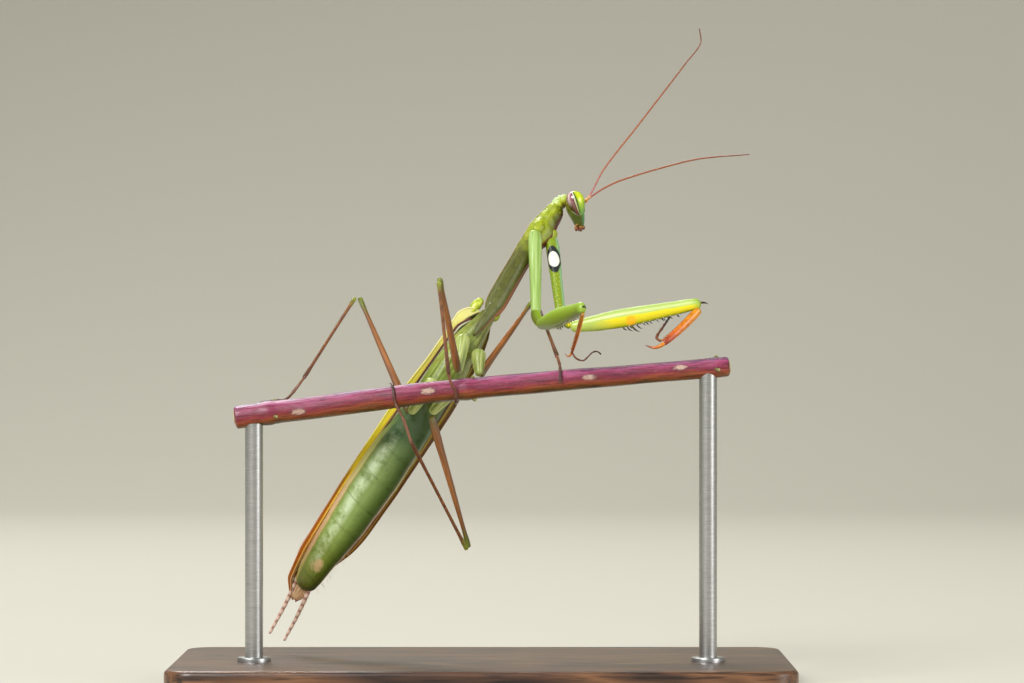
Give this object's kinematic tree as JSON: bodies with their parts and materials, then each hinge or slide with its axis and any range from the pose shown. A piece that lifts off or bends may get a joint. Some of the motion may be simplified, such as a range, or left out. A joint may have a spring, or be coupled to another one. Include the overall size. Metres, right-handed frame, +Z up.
{
  "type": "praying mantis",
  "caption": "Life-size still model of a slender green praying mantis gripping a cut stem, on a flat display base with two rods.",
  "frame": {"origin": "centre of the display base's underside", "axes": "+X along the stem towards the side the mantis faces, +Y from its belly to its back, +Z up"},
  "size_m": [0.062, 0.032, 0.0676],
  "materials": {
    "head": "waxy green insect cuticle, satin",
    "eye": "banded compound eye, glossy",
    "mouthparts": "amber-brown cuticle, satin",
    "antenna": "red-brown cuticle, satin",
    "pronotum": "olive-green cuticle with a brown rim, satin",
    "trunk": "green cuticle, satin",
    "tegmen": "leathery forewing, green with a yellow front edge, satin",
    "hindwing": "folded clear wing, glossy",
    "cercus": "beaded tail feeler with fine hair, satin",
    "foreleg": "green and yellow cuticle with black-tipped spines, satin",
    "foretibia": "orange cuticle with a claw, satin",
    "leg": "reddish-brown cuticle with green knees, satin",
    "tarsus": "dark brown cuticle, satin",
    "perch": "living herb stem, crimson to olive bark, satin",
    "stand_wood": "oiled walnut",
    "stand_steel": "brushed"
  },
  "bodies": {
    "root": {"abdomen_front": "trunk", "abdomen_middle": "trunk", "abdomen_rear": "trunk", "antenna_left": "antenna", "antenna_right": "antenna", "cercus_left": "cercus", "cercus_right": "cercus", "eye_left": "eye", "eye_right": "eye", "forecoxa_left": "foreleg", "forecoxa_right": "foreleg", "forefemur_left": "foreleg", "forefemur_right": "foreleg", "foretarsus_left": "tarsus", "foretarsus_right": "tarsus", "foretibia_left": "foretibia", "foretibia_right": "foretibia", "foretrochanter_left": "foreleg", "foretrochanter_right": "foreleg", "head": "head", "hindcoxa_left": "trunk", "hindcoxa_right": "trunk", "hindfemur_left": "leg", "hindfemur_right": "leg", "hindtarsus_left": "tarsus", "hindtarsus_right": "tarsus", "hindtibia_left": "leg", "hindtibia_right": "leg", "hindwing_left": "hindwing", "hindwing_right": "hindwing", "midcoxa_left": "trunk", "midcoxa_right": "trunk", "midfemur_left": "leg", "midfemur_right": "leg", "midtarsus_left": "tarsus", "midtarsus_right": "tarsus", "midtibia_left": "leg", "midtibia_right": "leg", "mouthparts": "mouthparts", "neck": "head", "perch_stem": "perch", "prothorax": "pronotum", "pterothorax": "trunk", "stand_base": "stand_wood", "stand_rod_left": "stand_steel", "stand_rod_right": "stand_steel", "tegmen_left": "tegmen", "tegmen_right": "tegmen"}
  },
  "joints": []
}
